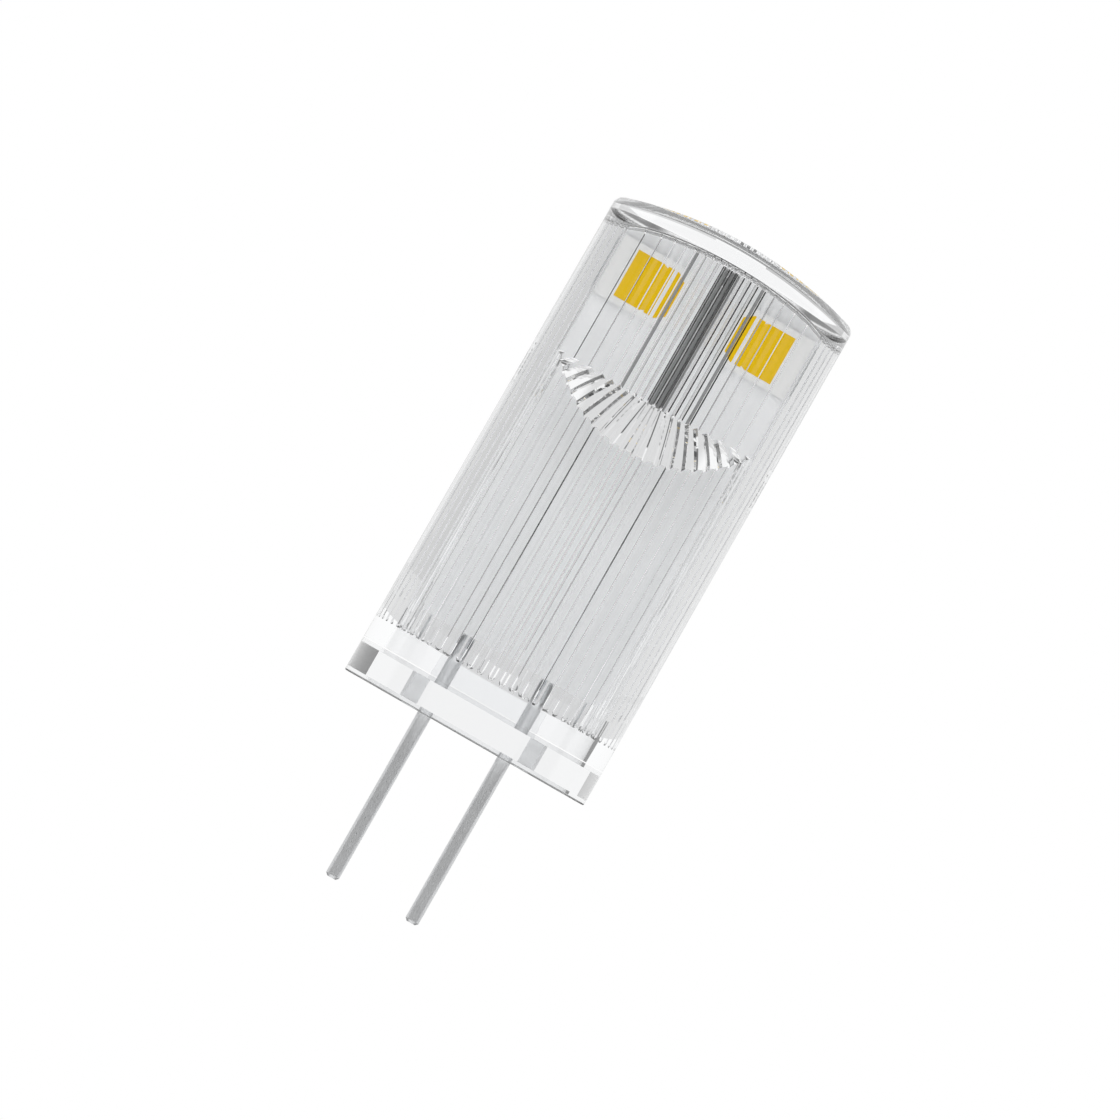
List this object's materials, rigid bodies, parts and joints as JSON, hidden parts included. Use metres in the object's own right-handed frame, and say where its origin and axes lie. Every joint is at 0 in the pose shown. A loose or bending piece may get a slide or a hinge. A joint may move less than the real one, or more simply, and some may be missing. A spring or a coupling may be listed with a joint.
{
  "type": "led capsule bulb",
  "caption": "Small clear LED capsule lamp with a shallow arched crown, a finely ribbed cavity, a white board with yellow LEDs, and straight contact pins below a clear base cap.",
  "frame": {"origin": "centre of the base cap's underside, midway between the two contact pins", "axes": "+Z along the lamp towards its arched crown, the pins point along -Z, and -Y is the front face"},
  "size_m": [0.012, 0.012, 0.0331],
  "materials": {
    "clear_plastic": "smooth clear moulded polycarbonate",
    "tinned_copper": "tinned copper wire, satin bright",
    "board_white": "white solder mask on glass fibre board",
    "led_white": "white moulded reflector plastic",
    "phosphor_yellow": "yellow phosphor in clear silicone",
    "terminal_tin": "tin plated terminal",
    "solder": "bright solder",
    "package_black": "black moulded epoxy",
    "ferrite": "dark grey ferrite",
    "winding_copper": "enamelled copper wire",
    "ceramic_tan": "tan capacitor ceramic",
    "resistor_black": "black glazed resistor film"
  },
  "bodies": {
    "root": {"base_cap": "clear_plastic", "capsule_cover": "clear_plastic", "choke_core": "ferrite", "choke_winding": "winding_copper", "circuit_board": "board_white", "contact_pin_left": "tinned_copper", "contact_pin_right": "tinned_copper", "controller_body": "package_black", "controller_leads": "terminal_tin", "diode_body": "package_black", "diode_leads": "terminal_tin", "input_capacitor_body": "ceramic_tan", "input_capacitor_ends": "terminal_tin", "led_housing_front_left": "led_white", "led_housing_front_right": "led_white", "led_housing_rear_left": "led_white", "led_housing_rear_right": "led_white", "led_phosphor_front_left": "phosphor_yellow", "led_phosphor_front_right": "phosphor_yellow", "led_phosphor_rear_left": "phosphor_yellow", "led_phosphor_rear_right": "phosphor_yellow", "led_terminals_front_left": "terminal_tin", "led_terminals_front_right": "terminal_tin", "led_terminals_rear_left": "terminal_tin", "led_terminals_rear_right": "terminal_tin", "output_capacitor_body": "ceramic_tan", "output_capacitor_ends": "terminal_tin", "pin_solder_left": "solder", "pin_solder_right": "solder", "rectifier_body": "package_black", "rectifier_leads": "terminal_tin", "sense_resistor_body": "resistor_black", "sense_resistor_ends": "terminal_tin", "start_resistor_body": "resistor_black", "start_resistor_ends": "terminal_tin"}
  },
  "joints": []
}
